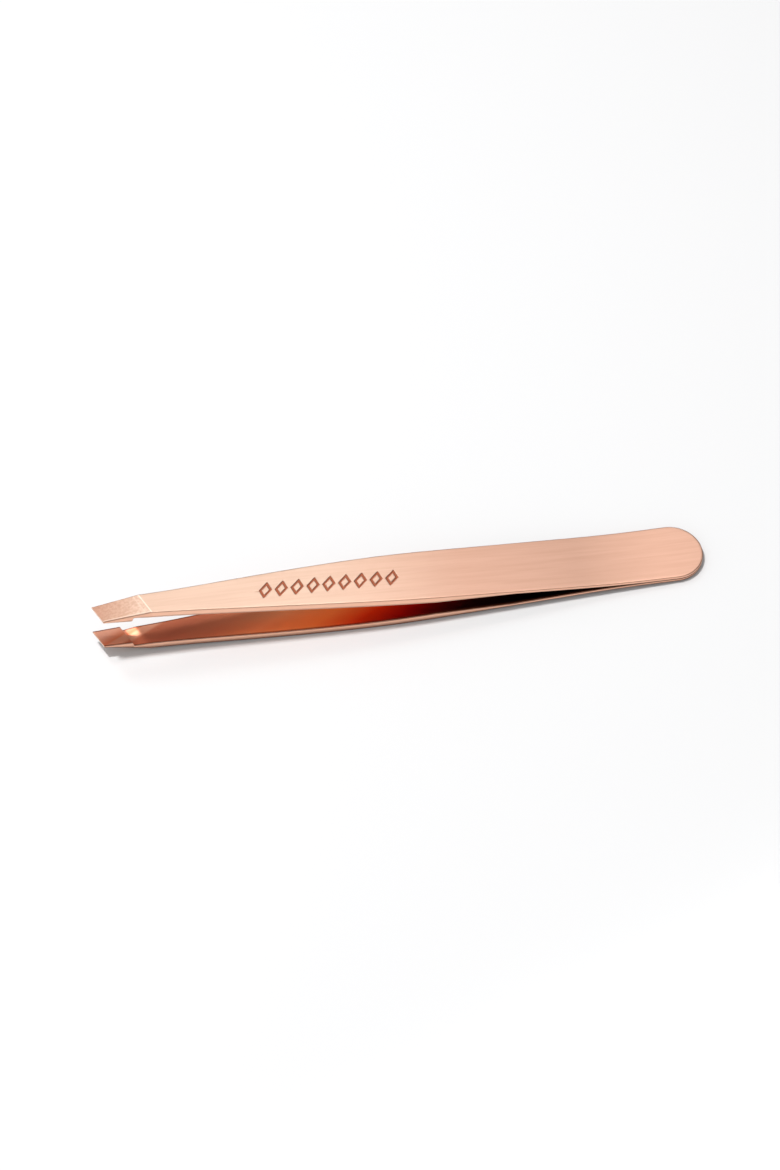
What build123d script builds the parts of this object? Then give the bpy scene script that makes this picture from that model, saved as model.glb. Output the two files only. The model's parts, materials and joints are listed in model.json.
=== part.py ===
"""Slant tweezers: two mirrored spring-steel arms, spot-welded together at the heel.

Frame: +X runs along the length towards the heel, +Y across the width, +Z up, in millimetres.
The tweezers lie on the lower arm as they do on a table, touching it with the heel and the belly of
the arm. The origin is the centre of the bottom of the bounding box.

Each profile is drawn in the tweezers' own axes: x is minus the station, the distance from the heel
end towards the tips, and height is counted from the plane where the two arms meet.
"""
import math
import os

from build123d import *

# overall
LENGTH = 95.0               # heel end to the leading corner of the tips
HEEL_WIDTH = 9.7
WELD_LENGTH = 7.3           # the two strips lie on each other from the heel end to here
HINGE_STATION = 18.0        # in the springy zone, where the arm may be taken to pivot

# strip thickness
SPRING_THICKNESS = 0.6
ARM_THICKNESS = 1.3
THICKEN_START = 31.0        # the strip thickens from here to the end of the flank

# side view of an arm's outer face: flat, bend out, straight flank, bend back in, straight nose
SPRING_BEND_END = 20.0
FLANK_END = 43.0
BOW_END = 70.0
FLANK_ANGLE = math.radians(4.29)
NOSE_ANGLE = math.radians(1.72)

# plan view: half widths at stations, from the end of the straight heel part to the tip
SHOULDER = (42.0, 4.5)
TIP_HALF_WIDTH = 1.5
NOSE_OUTLINE = [(50.0, 4.3), (57.5, 3.9), (70.0, 3.0), (84.0, 1.95), (LENGTH, TIP_HALF_WIDTH)]

# the tip
SLANT = math.radians(25.0)  # between the gripping edge and a square-cut end
TIP_HALF_GAP = 3.05         # middle plane to the jaw pad at the tip, arms open
CLOSED_HALF_GAP = 0.03      # the same with the arms squeezed shut
PAD_LENGTH = 4.2
PAD_ROOT = 0.9              # how far the pad's block reaches up into the arm
FACET_LENGTH = 7.2          # ground bevel on the outer face
EDGE_THICKNESS = 0.3        # what the bevel leaves at the gripping edge

# spot welds
NUGGET_RADIUS = 1.2
NUGGET_DEPTH = 0.3          # into each strip
NUGGET_STATION = 4.4
NUGGET_SPACING = 4.4        # across the width

# debossed row of outlined, leaning lozenges on the upper arm, sized at the middle of the groove
MARK_COUNT = 9
MARK_FIRST = 49.3           # stations of the first and the last lozenge
MARK_LAST = 68.8
MARK_HALF_HEIGHT = 1.15
MARK_HALF_WIDTH = 0.8
MARK_LEAN = 0.35            # sideways per unit of height
MARK_STROKE = 0.34          # width of the groove
MARK_DEPTH = 0.12

OVERSHOOT = 3.0             # how far blanks run past the outlines that trim them
SPRING_RADIUS = (SPRING_BEND_END - WELD_LENGTH) / math.sin(FLANK_ANGLE)
BOW_RADIUS = (BOW_END - FLANK_END) / (math.sin(FLANK_ANGLE) - math.sin(NOSE_ANGLE))
MARK_GROWTH = MARK_STROKE / 2 * math.hypot(1 / MARK_HALF_WIDTH, 1 / MARK_HALF_HEIGHT)


def outer_face(station):
    """Height of an arm's outer face over the middle plane at a station, and its slope there."""
    height = SPRING_THICKNESS
    if station <= WELD_LENGTH:
        return height, 0.0
    if station <= SPRING_BEND_END:
        slope = math.asin((station - WELD_LENGTH) / SPRING_RADIUS)
        return height + SPRING_RADIUS * (1 - math.cos(slope)), slope
    height += SPRING_RADIUS * (1 - math.cos(FLANK_ANGLE))
    if station <= FLANK_END:
        return height + (station - SPRING_BEND_END) * math.tan(FLANK_ANGLE), FLANK_ANGLE
    height += (FLANK_END - SPRING_BEND_END) * math.tan(FLANK_ANGLE)
    if station <= BOW_END:
        slope = math.asin(math.sin(FLANK_ANGLE) - (station - FLANK_END) / BOW_RADIUS)
        return height + BOW_RADIUS * (math.cos(slope) - math.cos(FLANK_ANGLE)), slope
    height += BOW_RADIUS * (math.cos(NOSE_ANGLE) - math.cos(FLANK_ANGLE))
    return height + (station - BOW_END) * math.tan(NOSE_ANGLE), NOSE_ANGLE


def side_point(station, depth=0.0):
    """Point of the side view, at a depth under the outer face, square to it."""
    height, slope = outer_face(station)
    return -station - depth * math.sin(slope), height - depth * math.cos(slope)


def rest_tilt():
    """Angle of the middle plane to the table when the heel end and the belly both touch it."""
    centre_x, centre_height = side_point(FLANK_END, BOW_RADIUS)
    drop = centre_height - SPRING_THICKNESS
    reach = math.hypot(centre_x, drop)
    return math.atan2(drop, -centre_x) + math.asin(BOW_RADIUS / reach)


def closing_angle(hinge_x, hinge_height):
    """Turn about the hinge that brings the jaw pad's leading corner down to the middle plane."""
    reach = math.hypot(LENGTH + hinge_x, TIP_HALF_GAP - hinge_height)
    open_angle = math.asin((TIP_HALF_GAP - hinge_height) / reach)
    return open_angle - math.asin((CLOSED_HALF_GAP - hinge_height) / reach)


# the planes that the profiles are drawn on
TILT = rest_tilt()
TIP_HEIGHT = TIP_HALF_GAP + EDGE_THICKNESS
heel_x = (LENGTH * math.cos(TILT) + (TIP_HEIGHT - SPRING_THICKNESS) * math.sin(TILT)) / 2
middle = Plane(
    origin=(heel_x, 0, SPRING_THICKNESS * math.cos(TILT)),
    x_dir=(math.cos(TILT), 0, -math.sin(TILT)),
    z_dir=(math.sin(TILT), 0, math.cos(TILT)),
)
side = Plane(origin=middle.origin, x_dir=middle.x_dir, z_dir=-middle.y_dir)
hinge_x, hinge_height = side_point(HINGE_STATION, SPRING_THICKNESS)
hinge_cut = Plane(
    origin=middle.from_local_coords((hinge_x, 0, hinge_height)),
    x_dir=middle.y_dir,
    z_dir=middle.x_dir,
)
closing = closing_angle(hinge_x, hinge_height)
pad_face = Plane(
    origin=middle.from_local_coords((-LENGTH, TIP_HALF_WIDTH, TIP_HALF_GAP)),
    x_dir=middle.x_dir * math.cos(closing) - middle.z_dir * math.sin(closing),
    z_dir=middle.x_dir * math.sin(closing) + middle.z_dir * math.cos(closing),
)
facet_corner = middle.from_local_coords((-LENGTH, TIP_HALF_WIDTH, TIP_HEIGHT))
facet_crest = middle.from_local_coords(
    (FACET_LENGTH - LENGTH, TIP_HALF_WIDTH, outer_face(LENGTH - FACET_LENGTH)[0])
)
slant_direction = middle.x_dir * math.sin(SLANT) - middle.y_dir * math.cos(SLANT)
facet = Plane(
    origin=facet_corner,
    x_dir=slant_direction,
    z_dir=slant_direction.cross(facet_crest - facet_corner),
)
slanted_end = Plane(
    origin=facet_corner,
    x_dir=slant_direction,
    z_dir=slant_direction.cross(-middle.z_dir),
)
nugget_plane = Plane(
    origin=middle.from_local_coords((-NUGGET_STATION, 0, 0)),
    x_dir=middle.x_dir,
    z_dir=middle.z_dir,
)

# the bent strip that each arm is stamped from, here the upper one
with BuildPart() as strip:
    with BuildSketch(side):
        with BuildLine():
            blank_end = LENGTH + OVERSHOOT
            spring_middle = (WELD_LENGTH + SPRING_BEND_END) / 2
            bow_middle = (FLANK_END + BOW_END) / 2
            Polyline(side_point(WELD_LENGTH, SPRING_THICKNESS), (0, 0),
                     (0, SPRING_THICKNESS), side_point(WELD_LENGTH))
            ThreePointArc(side_point(WELD_LENGTH), side_point(spring_middle),
                          side_point(SPRING_BEND_END))
            Line(side_point(SPRING_BEND_END), side_point(FLANK_END))
            ThreePointArc(side_point(FLANK_END), side_point(bow_middle), side_point(BOW_END))
            Polyline(side_point(BOW_END), side_point(blank_end),
                     side_point(blank_end, ARM_THICKNESS), side_point(BOW_END, ARM_THICKNESS))
            ThreePointArc(side_point(BOW_END, ARM_THICKNESS), side_point(bow_middle, ARM_THICKNESS),
                          side_point(FLANK_END, ARM_THICKNESS))
            Polyline(side_point(FLANK_END, ARM_THICKNESS),
                     side_point(THICKEN_START, SPRING_THICKNESS),
                     side_point(SPRING_BEND_END, SPRING_THICKNESS))
            ThreePointArc(side_point(SPRING_BEND_END, SPRING_THICKNESS),
                          side_point(spring_middle, SPRING_THICKNESS),
                          side_point(WELD_LENGTH, SPRING_THICKNESS))
        make_face()
    extrude(amount=HEEL_WIDTH, both=True)

    # the raised jaw pad, a band parallel to the gripping edge
    with BuildSketch(pad_face):
        slant_run = HEEL_WIDTH * math.tan(SLANT)
        with BuildLine():
            Polyline((-OVERSHOOT - slant_run, HEEL_WIDTH), (PAD_LENGTH - slant_run, HEEL_WIDTH),
                     (PAD_LENGTH + slant_run, -HEEL_WIDTH), (slant_run - OVERSHOOT, -HEEL_WIDTH),
                     close=True)
        make_face()
    extrude(amount=PAD_ROOT)

    # plan outline: round heel, slight taper to the shoulder, long taper to the nose
    with BuildSketch(middle):
        with BuildLine():
            round_end = HEEL_WIDTH / 2
            shoulder = (-SHOULDER[0], SHOULDER[1])
            ThreePointArc((-round_end, -round_end), (0, 0), (-round_end, round_end))
            taper = Line((-round_end, round_end), shoulder)
            nose = Spline(shoulder, *[(-station, half) for station, half in NOSE_OUTLINE],
                          tangents=[taper % 1, (-1, -0.06)])
            mirror([taper, nose], about=Plane.XZ)
            Line((-LENGTH, TIP_HALF_WIDTH), (-LENGTH, -TIP_HALF_WIDTH))
        make_face()
    extrude(amount=HEEL_WIDTH, both=True, mode=Mode.INTERSECT)

    # the slanted gripping edge and the bevel ground on the outer face
    split(bisect_by=slanted_end, keep=Keep.TOP)
    split(bisect_by=facet, keep=Keep.BOTTOM)

# upper arm, with its debossed row of lozenges
with BuildPart() as upper_arm:
    add(strip.part)
    split(bisect_by=hinge_cut, keep=Keep.BOTTOM)
    for index in range(MARK_COUNT):
        station = MARK_FIRST + index * (MARK_LAST - MARK_FIRST) / (MARK_COUNT - 1)
        height, slope = outer_face(station)
        mark_plane = Plane(
            origin=middle.from_local_coords((-station, 0, height)),
            x_dir=middle.x_dir * math.cos(slope) - middle.z_dir * math.sin(slope),
            z_dir=middle.x_dir * math.sin(slope) + middle.z_dir * math.cos(slope),
        )
        with BuildSketch(mark_plane):
            for scale, mode in ((1 + MARK_GROWTH, Mode.ADD), (1 - MARK_GROWTH, Mode.SUBTRACT)):
                half_width = MARK_HALF_WIDTH * scale
                half_height = MARK_HALF_HEIGHT * scale
                lean = MARK_LEAN * half_height
                with BuildLine():
                    Polyline((-half_width, 0), (lean, half_height),
                             (half_width, 0), (-lean, -half_height), close=True)
                make_face(mode=mode)
        extrude(amount=-MARK_DEPTH, mode=Mode.SUBTRACT)
upper_arm.part.label = "upper_arm"

# lower arm, the plain mirror image
with BuildPart() as lower_arm:
    mirror(strip.part, about=middle)
    split(bisect_by=hinge_cut, keep=Keep.BOTTOM)
lower_arm.part.label = "lower_arm"

# the two heels, each with pockets that its half of the weld nuggets fills
with BuildPart() as upper_heel:
    add(strip.part)
    split(bisect_by=hinge_cut, keep=Keep.TOP)
    with BuildSketch(nugget_plane):
        with GridLocations(0, NUGGET_SPACING, 1, 2):
            Circle(NUGGET_RADIUS)
    extrude(amount=NUGGET_DEPTH, mode=Mode.SUBTRACT)
upper_heel.part.label = "upper_heel"

with BuildPart() as lower_heel:
    mirror(upper_heel.part, about=middle)
lower_heel.part.label = "lower_heel"

with BuildPart() as weld_nuggets:
    with BuildSketch(nugget_plane):
        with GridLocations(0, NUGGET_SPACING, 1, 2):
            Circle(NUGGET_RADIUS)
    extrude(amount=NUGGET_DEPTH, both=True)
weld_nuggets.part.label = "weld_nuggets"

os.makedirs("parts", exist_ok=True)
for piece in (upper_arm, lower_arm, upper_heel, lower_heel, weld_nuggets):
    export_step(piece.part, f"parts/{piece.part.label}.step")
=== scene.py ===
"""Slant tweezers in rose-gold satin steel, lying on a plain pale slab.

Each arm is one continuous strip from its rounded heel to its slanted tip, built in the tweezers' own
axes: the station runs from the heel end towards the tips, across is +Y, and height is counted from
the plane where the two arms meet. All sizes in the first part are millimetres.
"""

import json
import math

import bmesh
import bpy
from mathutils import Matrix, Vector


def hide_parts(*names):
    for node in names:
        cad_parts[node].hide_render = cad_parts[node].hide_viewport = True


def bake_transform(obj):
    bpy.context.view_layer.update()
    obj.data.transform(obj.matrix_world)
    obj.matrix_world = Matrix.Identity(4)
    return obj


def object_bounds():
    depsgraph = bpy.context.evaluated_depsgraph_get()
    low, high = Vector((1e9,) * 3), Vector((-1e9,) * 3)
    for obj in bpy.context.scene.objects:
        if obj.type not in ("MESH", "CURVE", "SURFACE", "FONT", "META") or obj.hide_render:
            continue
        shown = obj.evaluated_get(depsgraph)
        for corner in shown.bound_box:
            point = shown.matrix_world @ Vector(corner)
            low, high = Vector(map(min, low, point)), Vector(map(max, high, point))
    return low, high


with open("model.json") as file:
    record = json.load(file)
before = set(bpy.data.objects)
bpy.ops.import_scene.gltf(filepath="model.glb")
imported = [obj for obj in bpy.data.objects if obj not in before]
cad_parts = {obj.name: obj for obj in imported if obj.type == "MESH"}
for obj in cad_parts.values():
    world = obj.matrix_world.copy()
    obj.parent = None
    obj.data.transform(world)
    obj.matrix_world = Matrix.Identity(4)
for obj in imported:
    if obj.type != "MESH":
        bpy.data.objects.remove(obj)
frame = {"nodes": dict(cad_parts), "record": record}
cad_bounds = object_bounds()
MM = 0.001

# ---------------------------------------------------------------- sizes, as in the CAD
LENGTH = 95.0
HEEL_RADIUS = 4.85
WELD_LENGTH = 7.3
SPRING_THICKNESS = 0.6
ARM_THICKNESS = 1.3
THICKEN_START = 31.0
SPRING_BEND_END = 20.0
FLANK_END = 43.0
BOW_END = 70.0
FLANK_ANGLE = math.radians(4.29)
NOSE_ANGLE = math.radians(1.72)
HALF_WIDTHS = [(HEEL_RADIUS, 4.85), (42.0, 4.5), (50.0, 4.3), (57.5, 3.9), (70.0, 3.0), (84.0, 1.95),
               (LENGTH, 1.5)]
TIP_HALF_WIDTH = 1.5
SLANT = math.radians(25.0)
TIP_HALF_GAP = 3.05
CLOSING_ANGLE = math.radians(frame["record"]["behaviour"]["joints"][0]["range_deg"][1])
PAD_LENGTH = 4.2
FACET_LENGTH = 7.2
EDGE_THICKNESS = 0.3
SPRING_RADIUS = (SPRING_BEND_END - WELD_LENGTH) / math.sin(FLANK_ANGLE)
BOW_RADIUS = (BOW_END - FLANK_END) / (math.sin(FLANK_ANGLE) - math.sin(NOSE_ANGLE))

# ---------------------------------------------------------------- sizes that only the looks have
OUTER_CORNER = 0.18          # radii of the tumbled edges
INNER_CORNER = 0.12
SHEAR_START = 79.0           # from here the rows of the mesh turn to lie along the slant
SHEAR_END = 86.5
CREST_ROUND = 0.12           # half width of the rounded crest of the bevel
CREST_SLOPE = 0.25           # difference in slope between the bevel and the outer face
RELIEF_LENGTH = 2.6          # shallow ground relief behind the jaw pad
RELIEF_DEPTH = 0.12
RELIEF_SKEW = 0.22           # how much deeper it is towards +Y
RELIEF_TURN = (-0.5, 0.6)    # where across the strip it gets deeper
SECOND_LINE = 0.85           # from the crest of the bevel to the fainter painted highlight line
PAD_STEP = 0.3               # length of the curved step up to the jaw pad
MARK_COUNT = 9
MARK_FIRST = 49.3
MARK_LAST = 68.8
MARK_HALF_HEIGHT = 1.15
MARK_HALF_WIDTH = 0.8
MARK_LEAN = 0.35             # sideways lean of a lozenge per unit of height
MARK_STROKE = 0.17           # half the width of the groove
MARK_DEPTH = 0.12
MARK_WALL = 0.09
MARK_ROWS = (47.0, 69.8)     # stations between which the upper arm's rows are fine enough for the marks
FAN_ROWS = 26                # rows of the mesh round half of the heel's end
EDGE_ROUND = 0.05            # radius in plan at the end of the tip
SHARP_ANGLE = math.radians(38)
# the "corner" mask carries painted shade lines along the corners
# the "crest" mask carries painted highlight lines
# the "side" mask carries the painted light on the side walls
MASKS = ("mark", "bevel", "corner", "crest", "inside", "side")
HEEL_LINES = (8.0, 26.0)     # stations over which the painted shade lines of the heel fade out
UV_NAME = "along_strip"
UV_SCALE = 100.0             # millimetres of the strip per unit of its UV map

# ---------------------------------------------------------------- place in the frame
heel_top = next(m for m in frame["record"]["mounts"] if m["name"] == "heel_top")
TILT = math.asin(heel_top["axis"][0])
HEEL_X = cad_bounds[1][0] / MM - SPRING_THICKNESS * math.sin(TILT)
HEEL_Z = SPRING_THICKNESS * math.cos(TILT)


def in_frame(station, across, height):
    """The tweezers' own axes, in millimetres, to the frame, in metres."""
    x = HEEL_X - station * math.cos(TILT) + height * math.sin(TILT)
    z = HEEL_Z + station * math.sin(TILT) + height * math.cos(TILT)
    return Vector((x * MM, across * MM, z * MM))


def smooth(low, high, value):
    part = min(max((value - low) / (high - low), 0.0), 1.0)
    return part * part * (3 - 2 * part)


# ---------------------------------------------------------------- shape of an arm
def outer_face(station):
    """Height of the bent strip's outer face over the middle plane, and its slope."""
    height = SPRING_THICKNESS
    if station <= WELD_LENGTH:
        return height, 0.0
    if station <= SPRING_BEND_END:
        slope = math.asin((station - WELD_LENGTH) / SPRING_RADIUS)
        return height + SPRING_RADIUS * (1 - math.cos(slope)), slope
    height += SPRING_RADIUS * (1 - math.cos(FLANK_ANGLE))
    if station <= FLANK_END:
        return height + (station - SPRING_BEND_END) * math.tan(FLANK_ANGLE), FLANK_ANGLE
    height += (FLANK_END - SPRING_BEND_END) * math.tan(FLANK_ANGLE)
    if station <= BOW_END:
        slope = math.asin(math.sin(FLANK_ANGLE) - (station - FLANK_END) / BOW_RADIUS)
        return height + BOW_RADIUS * (math.cos(slope) - math.cos(FLANK_ANGLE)), slope
    height += BOW_RADIUS * (math.cos(NOSE_ANGLE) - math.cos(FLANK_ANGLE))
    return height + (station - BOW_END) * math.tan(NOSE_ANGLE), NOSE_ANGLE


def half_width(station):
    """Half the strip's width, as a smooth curve through the outline's points."""
    points = HALF_WIDTHS
    if station <= points[0][0]:
        return points[0][1]
    slopes = [(b[1] - a[1]) / (b[0] - a[0]) for a, b in zip(points, points[1:])]
    tangents = [slopes[0]] + [(a + b) / 2 for a, b in zip(slopes, slopes[1:])] + [slopes[-1]]
    tangents[1] = slopes[0]
    index = min(sum(station > p[0] for p in points[1:-1]), len(slopes) - 1)
    (x0, y0), (x1, y1) = points[index], points[index + 1]
    run = x1 - x0
    u = min((station - x0) / run, 1.0)
    return ((2 * u ** 3 - 3 * u ** 2 + 1) * y0 + (u ** 3 - 2 * u ** 2 + u) * run * tangents[index]
            + (3 * u ** 2 - 2 * u ** 3) * y1 + (u ** 3 - u ** 2) * run * tangents[index + 1])


def thickness(station):
    part = min(max((station - THICKEN_START) / (FLANK_END - THICKEN_START), 0.0), 1.0)
    return SPRING_THICKNESS + part * (ARM_THICKNESS - SPRING_THICKNESS)


def slanted(row, across):
    """Station of a mesh row at a place across the strip: rows near the tip lie along the slant."""
    return row - smooth(SHEAR_START, SHEAR_END, row) * (TIP_HALF_WIDTH - across) * math.tan(SLANT)


def crest_height():
    return outer_face(LENGTH - FACET_LENGTH)[0]


def outer_height(row, station):
    """Outer face with the ground bevel, whose crest is a little rounded."""
    face = outer_face(station)[0]
    tip = TIP_HALF_GAP + EDGE_THICKNESS
    bevel = tip + (LENGTH - row) / FACET_LENGTH * (crest_height() - tip)
    reach = CREST_ROUND * CREST_SLOPE
    gap = (bevel - face) / reach
    if gap >= 1:
        return face
    if gap <= -1:
        return bevel
    return min(face, bevel) - reach * (1 - abs(gap)) ** 2 / 4


def inner_height(row, station, across=0.0):
    """Inner face with the relief, deeper on one side, and the jaw pad."""
    outer, slope = outer_face(station)
    face = outer - thickness(station) / math.cos(slope)
    pad_start = LENGTH - PAD_LENGTH
    relief = smooth(pad_start - PAD_STEP - RELIEF_LENGTH, pad_start - PAD_STEP, row)
    face += (RELIEF_DEPTH + RELIEF_SKEW * smooth(*RELIEF_TURN, across)) * relief
    pad = TIP_HALF_GAP - (LENGTH - station) * math.tan(CLOSING_ANGLE)
    return face + (pad - face) * smooth(pad_start - PAD_STEP, pad_start, row)


def mark_centres():
    step = (MARK_LAST - MARK_FIRST) / (MARK_COUNT - 1)
    return [MARK_FIRST + index * step for index in range(MARK_COUNT)]


def mark_amount(station, across):
    """1 in the groove of a debossed lozenge, 0 off it, with a sloping wall between."""
    if abs(across) > MARK_HALF_HEIGHT + MARK_STROKE + MARK_WALL:
        return 0.0
    best = 0.0
    for centre in mark_centres():
        along = centre - station - across * MARK_LEAN
        if abs(along) > MARK_HALF_WIDTH + 3 * MARK_STROKE:
            continue
        ring = abs(along) / MARK_HALF_WIDTH + abs(across) / MARK_HALF_HEIGHT - 1
        scale = math.hypot(1 / MARK_HALF_WIDTH, 1 / MARK_HALF_HEIGHT)
        distance = abs(ring) / scale
        best = max(best, 1 - smooth(MARK_STROKE - MARK_WALL / 2, MARK_STROKE + MARK_WALL / 2, distance))
    return best


def corner_shade_line(column, station, up):
    """Strength of the painted shade line along a corner; the lower arm's underside and heel are
    darkest.
    """
    kind, place = column[0], column[-1]
    heel = 1 - smooth(*HEEL_LINES, station)
    mid_corner = math.sin(math.radians(2 * place)) if kind.endswith("corner") else 0.0
    if up > 0 and kind == "outer_corner":
        return 0.5 * mid_corner
    if up > 0:
        return (0.5 + 0.4 * heel) * (kind == "inner_corner")
    if kind == "wall":
        return 0.3 * heel + 0.35 * (1 - smooth(0.2, 0.6, place))
    if kind == "inner":
        return 0.85 if abs(place) > 0.95 else 0.0
    if kind == "inner_corner":
        return 0.9 * mid_corner
    if kind == "outer_corner":
        return 0.95 * smooth(10.0, 45.0, place)
    return 0.0


def lit_wall_amount(column):
    """Strength of the painted light on the strip's side walls: 1 on the walls, fading out round the
    corners.
    """
    kind, place = column[0], column[-1]
    if kind == "wall":
        return 1.0
    return smooth(40.0, 80.0, place) if kind.endswith("corner") else 0.0


def crest_highlight(column, row):
    """Strength of the painted highlight lines round the bevel and on the tip's edge."""
    if row > LENGTH - 0.01:
        return 0.7
    if column[0] != "outer":
        return 0.0
    crest = LENGTH - FACET_LENGTH
    rim = 0.45 * (row > crest and column[1] < -0.9)
    return max(rim, 0.8 * (1 - smooth(0.03, 0.16, abs(row - crest)))
               + 0.25 * (1 - smooth(0.03, 0.14, abs(row - crest - SECOND_LINE))))


def span(start, end, step):
    count = max(1, round((end - start) / step))
    return [start + (end - start) * index / count for index in range(count)]


def row_list(marked):
    """Rows of the mesh from the end of the round heel to the tip."""
    mark_step = 0.07 if marked else 0.8
    pad_start = LENGTH - PAD_LENGTH
    crest = LENGTH - FACET_LENGTH
    rows = span(HEEL_RADIUS, WELD_LENGTH, 0.8)
    rows += span(WELD_LENGTH, SPRING_BEND_END, 0.7)
    rows += span(SPRING_BEND_END, THICKEN_START, 1.0)
    rows += span(THICKEN_START, FLANK_END, 1.0)
    rows += span(FLANK_END, MARK_ROWS[0], 1.0)
    rows += span(*MARK_ROWS, mark_step)
    rows += span(MARK_ROWS[1], SHEAR_START, 0.8)
    rows += span(SHEAR_START, crest - 0.5, 0.4)
    rows += span(crest - 0.5, crest + 1.2, 0.05)
    rows += span(crest + 1.2, pad_start - PAD_STEP - 0.1, 0.15)
    rows += span(pad_start - PAD_STEP - 0.1, pad_start + 0.1, 0.03)
    rows += span(pad_start + 0.1, LENGTH - 0.06, 0.2)
    return rows + [LENGTH - 0.06, LENGTH - 0.02, LENGTH]


def column_list(marked):
    """Loop round the strip's section: (face, part across) pairs and (corner, side, angle) ones."""
    if marked:
        outer = [-1 + 0.06 * index for index in range(8)]
        outer += span(-0.52, 0.52, 0.0165) + [1 - 0.06 * index for index in range(7, -1, -1)]
    else:
        outer = [-1 + index / 12 for index in range(25)]
    bend = [index * 15.0 for index in range(1, 7)]
    loop = [("outer", part) for part in outer]
    loop += [("outer_corner", 1, angle) for angle in bend]
    loop += [("wall", 1, 0.3), ("wall", 1, 0.6)]
    loop += [("inner_corner", 1, 90.0 - angle) for angle in [0.0] + bend[:-1]]
    loop += [("inner", 1), ("inner", 0.97)] + [("inner", 0.9 - index / 10) for index in range(19)]
    loop += [("inner", -0.97), ("inner", -1)]
    loop += [("inner_corner", -1, angle) for angle in bend]
    loop += [("wall", -1, 0.6), ("wall", -1, 0.3)]
    loop += [("outer_corner", -1, 90.0 - angle) for angle in [0.0] + bend[:-1]]
    return loop


def section_point(column, widths, outer_z, inner_z, corner_scale):
    """Across and height of one column, given the half widths and height functions of its row."""
    kind = column[0]
    outer_r, inner_r = OUTER_CORNER * corner_scale, INNER_CORNER * corner_scale
    if kind in ("outer", "inner"):
        part = column[1]
        radius = outer_r if kind == "outer" else inner_r
        across = part * (widths[part > 0] - radius)
        return across, (outer_z if kind == "outer" else inner_z)(across)
    if kind == "wall":
        across = column[1] * widths[column[1] > 0]
        outer_end, inner_end = outer_z(across) - outer_r, inner_z(across) + inner_r
        return across, outer_end + column[2] * (inner_end - outer_end)
    side, angle = column[1], math.radians(column[2])
    radius = outer_r if kind == "outer_corner" else inner_r
    across = side * (widths[side > 0] - radius + radius * math.sin(angle))
    drop = radius * (1 - math.cos(angle))
    if kind == "outer_corner":
        return across, outer_z(across) - drop
    return across, inner_z(across) + drop


def arm_mesh(name, up, marked):
    """One whole strip, from the round heel to the tip. up is 1 for the upper arm, -1 for the lower."""
    columns = column_list(marked)
    vertices, uvs, masks = [], [], []

    def add_row(place, row, widths, corner_scale):
        for column in columns:
            across, height = section_point(
                column, widths,
                lambda y: outer_height(row, slanted(row, y)),
                lambda y: inner_height(row, slanted(row, y), y),
                corner_scale,
            )
            station, y = place(across)
            mark = 0.0
            if marked and column[0] == "outer":
                mark = mark_amount(station, y)
            height -= MARK_DEPTH * mark
            vertices.append(in_frame(station, y, up * height))
            uvs.append((station, y))
            facet = smooth(LENGTH - FACET_LENGTH - 0.05, LENGTH - FACET_LENGTH + 0.05, row)
            crest = crest_highlight(column, row)
            masks.append((mark, facet * (column[0] != "inner"), corner_shade_line(column, station, up), crest,
                          float(column[0] == "inner"), lit_wall_amount(column)))

    for index in range(FAN_ROWS, 0, -1):
        turn = math.radians(90.0) * index / FAN_ROWS

        def on_fan(across, turn=turn):
            return HEEL_RADIUS - abs(across) * math.sin(turn), across * math.cos(turn)
        add_row(on_fan, 0.0, (HEEL_RADIUS, HEEL_RADIUS), 1.0)
    for row in row_list(marked):
        near = far = half_width(row)
        for _ in range(4):
            near, far = half_width(slanted(row, -near)), half_width(slanted(row, far))
        rim = LENGTH - row
        scale = min(1.0, 0.4 * (outer_height(row, row) - inner_height(row, row)) / OUTER_CORNER)
        inset = EDGE_ROUND - math.sqrt(max(0.0, EDGE_ROUND ** 2 - max(0.0, EDGE_ROUND - rim) ** 2))
        add_row(lambda y, row=row: (slanted(row, y), y), row, (near - inset, far - inset), scale)

    count = len(columns)
    rows = len(vertices) // count
    faces = []
    for r in range(rows - 1):
        for c in range(count):
            n = (c + 1) % count
            quad = (r * count + c, r * count + n, (r + 1) * count + n, (r + 1) * count + c)
            faces.append(quad if up > 0 else quad[::-1])
    cap = tuple(range((rows - 1) * count, rows * count))
    faces.append(cap[::-1] if up < 0 else cap)

    mesh = bpy.data.meshes.new(name)
    mesh.from_pydata([tuple(v) for v in vertices], [], faces)
    uv_layer = mesh.uv_layers.new(name=UV_NAME)
    for loop in mesh.loops:
        station, across = uvs[loop.vertex_index]
        uv_layer.data[loop.index].uv = (0.5 + across / UV_SCALE, station / UV_SCALE)
    for channel, mask in enumerate(MASKS):
        attribute = mesh.attributes.new(mask, "FLOAT", "POINT")
        attribute.data.foreach_set("value", [m[channel] for m in masks])
    obj = bpy.data.objects.new(name, mesh)
    bpy.context.collection.objects.link(obj)
    weld_seam(obj)
    mesh.shade_smooth()
    mesh.set_sharp_from_angle(angle=SHARP_ANGLE)
    return obj


def weld_seam(obj):
    """Closes the seam and the centre of the round heel, where the rows of the fan meet."""
    bm = bmesh.new()
    bm.from_mesh(obj.data)
    bmesh.ops.remove_doubles(bm, verts=bm.verts, dist=0.004 * MM)
    bmesh.ops.recalc_face_normals(bm, faces=bm.faces)
    bm.to_mesh(obj.data)
    bm.free()
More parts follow.
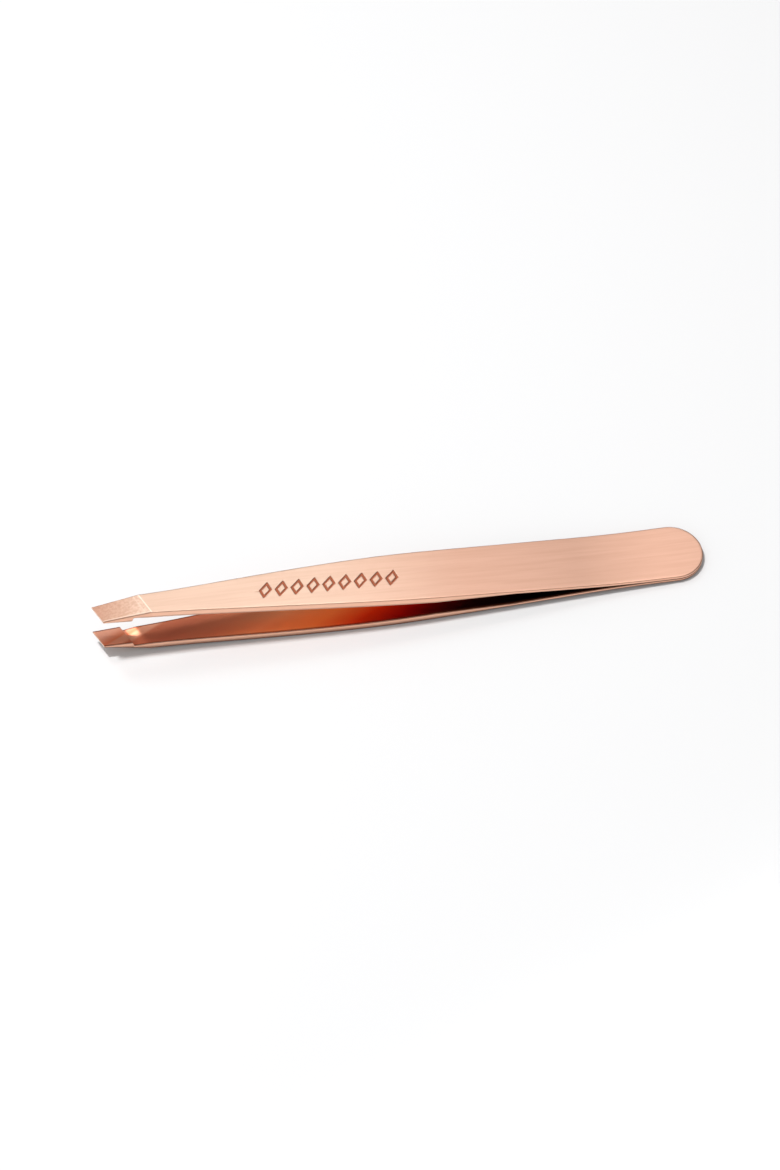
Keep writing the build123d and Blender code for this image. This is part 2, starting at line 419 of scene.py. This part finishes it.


# ---------------------------------------------------------------- materials
# colours along the strip, as (station, colour); those inside stand in for light caught between the arms
# painted shade on the bevel: light at its crest, darker and more saturated towards the tip
BEVEL_SHADE_TONES = [(88.0, (0.78, 0.57, 0.45)), (90.5, (0.66, 0.44, 0.33)), (94.5, (0.56, 0.33, 0.24))]
# painted highlight on the outer face: darker and more saturated from station 38 back to the heel,
# lighter and paler from station 62 on to the tip
OUTER_LIGHT_TONES = [(38.0, (0.642, 0.384, 0.285)), (62.0, (0.69, 0.487, 0.376))]
INNER_TONES = [(20.0, (0.004, 0.003, 0.003)), (31.0, (0.07, 0.007, 0.005)), (41.0, (0.43, 0.01, 0.006)),
               (48.0, (0.67, 0.074, 0.019)), (56.0, (0.837, 0.335, 0.121)), (66.0, (0.88, 0.385, 0.18)),
               (74.0, (0.66, 0.22, 0.11)), (82.0, (0.50, 0.14, 0.075)), (87.3, (0.52, 0.15, 0.08)),
               (88.2, (0.66, 0.28, 0.17)), (90.2, (0.66, 0.28, 0.17)), (90.8, (0.66, 0.19, 0.09)),
               (94.0, (0.80, 0.37, 0.25))]
INNER_SKEW = 2.0             # how far askew those inside lie
SATIN_ROUGHNESS = 0.34       # and what the streaks, the bevel, the grooves and the inside change in it
SATIN_SPREAD = 0.16
BEVEL_ROUGHER = 0.12
MARK_ROUGHER = 0.2
INSIDE_SMOOTHER = 0.1
BRUSHED_DARK = (0.4, 0.2, 0.12, 1)
GROUND_DARK = (0.40, 0.17, 0.10, 1)
# the grooves' own darker colour, with painted shade in them on top
GROOVE_AND_SHADE = (0.44, 0.14, 0.075, 1)
# painted light: the side walls get a lighter, more orange copy of the satin colour, for the light they
# catch
LIT_WALL = (0.93, 0.56, 0.40, 1)
# painted shade for the lines along the corners, under the lower arm and between the strips at the heel
CORNER_SHADE = (0.15, 0.045, 0.022, 1)
# painted highlight for the lines on the bevel's crest, its near edge and the tip's edge
PAINTED_HIGHLIGHT = (0.95, 0.80, 0.68, 1)
WELD_DARK = (0.42, 0.40, 0.38, 1)
WELD_PALE = (0.62, 0.60, 0.57, 1)
SLAB_TONE = (0.585, 0.585, 0.588, 1)


def add_node(tree, kind, **settings):
    node = tree.nodes.new(kind)
    for key, value in settings.items():
        setattr(node, key, value)
    return node


def streaks(tree, source, along, across, detail, seed):
    """Noise drawn out along the strip: lines along its length, in cycles per 100 mm."""
    mapping = add_node(tree, "ShaderNodeMapping")
    mapping.inputs["Scale"].default_value = (across, along, 1.0)
    mapping.inputs["Location"].default_value = (seed, seed * 0.7, seed * 0.3)
    tree.links.new(source, mapping.inputs["Vector"])
    texture = add_node(tree, "ShaderNodeTexNoise")
    texture.inputs["Scale"].default_value = 1.0
    texture.inputs["Detail"].default_value = detail
    tree.links.new(mapping.outputs["Vector"], texture.inputs["Vector"])
    return texture.outputs["Fac"]


def math_node(tree, operation, first, second, clamp=False):
    node = add_node(tree, "ShaderNodeMath", operation=operation, use_clamp=clamp)
    for socket, value in zip(node.inputs, (first, second)):
        if isinstance(value, (int, float)):
            socket.default_value = value
        else:
            tree.links.new(value, socket)
    return node.outputs["Value"]


def contrast(tree, noise):
    """Noise spread over the whole range from 0 to 1."""
    raised = math_node(tree, "MULTIPLY", math_node(tree, "SUBTRACT", noise, 0.5), 3.0)
    return math_node(tree, "ADD", raised, 0.5, clamp=True)


def mix_colour(tree, factor, first, second):
    node = add_node(tree, "ShaderNodeMix", data_type="RGBA")
    for socket, value in ((node.inputs[0], factor), (node.inputs[6], first), (node.inputs[7], second)):
        if isinstance(value, (int, float, tuple)):
            socket.default_value = value
        else:
            tree.links.new(value, socket)
    return node.outputs[2]


def station_tone(tree, uv, tones, skew=0.0):
    """Colour that changes along the strip, along lines that may lie askew to it."""
    parts = add_node(tree, "ShaderNodeSeparateXYZ")
    tree.links.new(uv, parts.inputs["Vector"])
    ramp = add_node(tree, "ShaderNodeValToRGB")
    across = math_node(tree, "SUBTRACT", parts.outputs["X"], 0.5)
    station = math_node(tree, "ADD", parts.outputs["Y"], math_node(tree, "MULTIPLY", across, skew))
    tree.links.new(station, ramp.inputs["Fac"])
    stops = ramp.color_ramp.elements
    for index, (station, colour) in enumerate(tones):
        stop = stops[index] if index < 2 else stops.new(station / UV_SCALE)
        stop.position = station / UV_SCALE
        stop.color = colour + (1.0,)
    return ramp.outputs["Color"]


def rose_gold():
    """Satin rose-gold steel, brushed lengthwise, with a cross-ground bevel and darker grooves; painted
    light and shade lie in its colour.
    """
    material = bpy.data.materials.new("rose_gold_satin")
    material.use_nodes = True
    tree = material.node_tree
    shader = tree.nodes["Principled BSDF"]
    uv = add_node(tree, "ShaderNodeUVMap", uv_map=UV_NAME).outputs["UV"]
    mark, bevel, corner, crest, inside, side = [
        add_node(tree, "ShaderNodeAttribute", attribute_name=mask).outputs["Fac"] for mask in MASKS
    ]

    broad = streaks(tree, uv, 8.0, 220.0, 3.0, 1.3)
    fine = streaks(tree, uv, 40.0, 1400.0, 2.0, 4.1)
    grit = streaks(tree, uv, 240.0, 320.0, 3.0, 7.7)
    line = contrast(tree, broad)

    # painted highlight along the outer face, lighter towards the tip
    tone = station_tone(tree, uv, OUTER_LIGHT_TONES)
    satin = mix_colour(tree, line, mix_colour(tree, 0.16, tone, BRUSHED_DARK), tone)
    # painted shade across the bevel; the grit blotches mixed in below are its ground grain
    bevel_tone = station_tone(tree, uv, BEVEL_SHADE_TONES)
    blotch = math_node(tree, "MULTIPLY", contrast(tree, grit), 0.34)
    ground = mix_colour(tree, blotch, bevel_tone, GROUND_DARK)
    colour = mix_colour(tree, bevel, satin, ground)
    # grooves: their own darker colour plus painted shade
    colour = mix_colour(tree, mark, colour, GROOVE_AND_SHADE)
    colour = mix_colour(tree, inside, colour, station_tone(tree, uv, INNER_TONES, INNER_SKEW))
    # painted light on the side walls
    colour = mix_colour(tree, side, colour, LIT_WALL)
    # painted shade lines along the corners, darkest under the lower arm and at the heel
    colour = mix_colour(tree, corner, colour, CORNER_SHADE)
    # painted highlight lines on the bevel's crest, its near edge and the tip's edge
    colour = mix_colour(tree, crest, colour, PAINTED_HIGHLIGHT)
    tree.links.new(colour, shader.inputs["Base Color"])

    rough = math_node(tree, "MULTIPLY", fine, SATIN_SPREAD)
    rough = math_node(tree, "ADD", rough, SATIN_ROUGHNESS)
    rough = math_node(tree, "ADD", rough, math_node(tree, "MULTIPLY", bevel, BEVEL_ROUGHER))
    rough = math_node(tree, "ADD", rough, math_node(tree, "MULTIPLY", mark, MARK_ROUGHER))
    rough = math_node(tree, "SUBTRACT", rough, math_node(tree, "MULTIPLY", inside, INSIDE_SMOOTHER))
    tree.links.new(rough, shader.inputs["Roughness"])

    shader.inputs["Metallic"].default_value = 1.0
    shader.inputs["Anisotropic"].default_value = 0.75
    tangent = add_node(tree, "ShaderNodeTangent", direction_type="UV_MAP", uv_map=UV_NAME)
    tree.links.new(tangent.outputs["Tangent"], shader.inputs["Tangent"])

    relief = math_node(tree, "ADD", fine, math_node(tree, "MULTIPLY", broad, 0.6))
    coarse = math_node(tree, "MULTIPLY", math_node(tree, "MULTIPLY", grit, bevel), 2.5)
    bump = add_node(tree, "ShaderNodeBump")
    bump.inputs["Strength"].default_value = 0.25
    bump.inputs["Distance"].default_value = 0.004 * MM
    tree.links.new(math_node(tree, "ADD", relief, coarse), bump.inputs["Height"])
    tree.links.new(bump.outputs["Normal"], shader.inputs["Normal"])
    return material


def weld_steel():
    """Fused bare steel with faint ripples, out of sight between the strips."""
    material = bpy.data.materials.new("weld_steel")
    material.use_nodes = True
    tree = material.node_tree
    shader = tree.nodes["Principled BSDF"]
    place = add_node(tree, "ShaderNodeTexCoord").outputs["Object"]
    ripple = add_node(tree, "ShaderNodeTexNoise")
    ripple.inputs["Scale"].default_value = 3000.0
    tree.links.new(place, ripple.inputs["Vector"])
    colour = mix_colour(tree, ripple.outputs["Fac"], WELD_DARK, WELD_PALE)
    tree.links.new(colour, shader.inputs["Base Color"])
    tree.links.new(math_node(tree, "MULTIPLY", ripple.outputs["Fac"], 0.8), shader.inputs["Roughness"])
    shader.inputs["Metallic"].default_value = 1.0
    return material


def slab_material():
    """Pale slab, with the faintest unevenness in its gloss."""
    material = bpy.data.materials.new("white_slab")
    material.use_nodes = True
    tree = material.node_tree
    shader = tree.nodes["Principled BSDF"]
    place = add_node(tree, "ShaderNodeTexCoord").outputs["Object"]
    cloud = add_node(tree, "ShaderNodeTexNoise")
    cloud.inputs["Scale"].default_value = 12.0
    tree.links.new(place, cloud.inputs["Vector"])
    rough = math_node(tree, "MULTIPLY", cloud.outputs["Fac"], 0.05)
    tree.links.new(math_node(tree, "ADD", rough, 0.10), shader.inputs["Roughness"])
    shader.inputs["Base Color"].default_value = SLAB_TONE
    return material


# ---------------------------------------------------------------- the tweezers
metal = rose_gold()
arms = {
    "upper": arm_mesh("upper_strip", 1, True),
    "lower": arm_mesh("lower_strip", -1, False),
}
for which, strip in arms.items():
    strip.data.materials.append(metal)
    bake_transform(strip)
    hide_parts(which + "_arm", which + "_heel")

nuggets = frame["nodes"]["weld_nuggets"]
for material_slot in nuggets.material_slots:
    material_slot.material = weld_steel()

# ---------------------------------------------------------------- floor, light and camera
bpy.ops.mesh.primitive_plane_add(size=3.0, location=(0, 0, 0))
slab = bpy.context.object
slab.name = "slab"
slab.data.materials.append(slab_material())

scene = bpy.context.scene
CEILING_LIGHT = 0.25         # even light from all round
HORIZON_LIGHT = 0.5          # what is added near the horizon, in front and on the left
FRONT_LIGHT = 0.4
LEFT_LIGHT = 0.6
UP_AXIS = (0, 0, 1)
FRONT_AXIS = (0, -0.75, 0.66)
LEFT_AXIS = (-0.8, 0.1, 0.6)
KEY_PLACE = (0.16, 0.05, 0.72)
FILL_PLACE = (-0.27, 0.45, 0.75)
LAMP_PLACE = (-0.20, 0.077, 0.75)
world = bpy.data.worlds.new("studio")
scene.world = world
world.use_nodes = True
sky = world.node_tree
direction = add_node(sky, "ShaderNodeTexCoord").outputs["Generated"]


def sky_part(axis, low, high, light):
    """Light that grows from none to all as the direction's part along an axis goes from low to high."""
    along = add_node(sky, "ShaderNodeVectorMath", operation="DOT_PRODUCT")
    along.inputs[1].default_value = axis
    sky.links.new(direction, along.inputs[0])
    ramp = add_node(sky, "ShaderNodeMapRange", interpolation_type="SMOOTHSTEP")
    for socket, value in zip(list(ramp.inputs)[1:5], (low, high, 0.0, light)):
        socket.default_value = value
    sky.links.new(along.outputs["Value"], ramp.inputs["Value"])
    return ramp.outputs["Result"]


glow = math_node(sky, "ADD", sky_part(UP_AXIS, 0.42, 0.12, HORIZON_LIGHT), CEILING_LIGHT)
glow = math_node(sky, "ADD", glow, sky_part(FRONT_AXIS, 0.25, 0.95, FRONT_LIGHT))
glow = math_node(sky, "ADD", glow, sky_part(LEFT_AXIS, 0.3, 0.95, LEFT_LIGHT))
sky.links.new(glow, sky.nodes["Background"].inputs["Strength"])
sky.nodes["Background"].inputs["Color"].default_value = (1, 1, 1, 1)


def soft_light(name, place, size, power):
    """A rectangular light that points at the middle of the tweezers."""
    data = bpy.data.lights.new(name, "AREA")
    data.shape = "RECTANGLE"
    data.size, data.size_y = size
    data.energy = power
    light = bpy.data.objects.new(name, data)
    light.location = place
    light.rotation_euler = (-Vector(place)).to_track_quat("-Z", "Y").to_euler()
    bpy.context.collection.objects.link(light)
    return light


key = soft_light("key", KEY_PLACE, (0.42, 0.42), 2.75)
key.visible_diffuse = False      # the broad light shows in the metal, the small lamp casts the shadow
lamp = soft_light("lamp", LAMP_PLACE, (0.07, 0.07), 6.0)
lamp.visible_glossy = False
soft_light("fill", FILL_PLACE, (0.12, 0.25), 1.3)
scene.view_settings.view_transform = "Standard"

CAMERA_AIM = Vector((-1.85, 0.0, 4.6)) * MM
CAMERA_DISTANCE = 450.0 * MM
CAMERA_TURN = math.radians(-11.03)
CAMERA_RISE = math.radians(54.96)
SENSOR = 36.0
FOCAL_WIDTHS = 3.783         # focal length as a multiple of the picture's width
camera_data = bpy.data.cameras.new("camera")
camera_data.sensor_fit = "HORIZONTAL"
camera_data.sensor_width = SENSOR
camera_data.lens = SENSOR * FOCAL_WIDTHS
camera = bpy.data.objects.new("camera", camera_data)
away = Vector((math.sin(CAMERA_TURN) * math.cos(CAMERA_RISE),
               -math.cos(CAMERA_TURN) * math.cos(CAMERA_RISE), math.sin(CAMERA_RISE)))
camera.location = CAMERA_AIM + away * CAMERA_DISTANCE
camera.rotation_euler = (-away).to_track_quat("-Z", "Y").to_euler()
bpy.context.collection.objects.link(camera)
scene.camera = camera
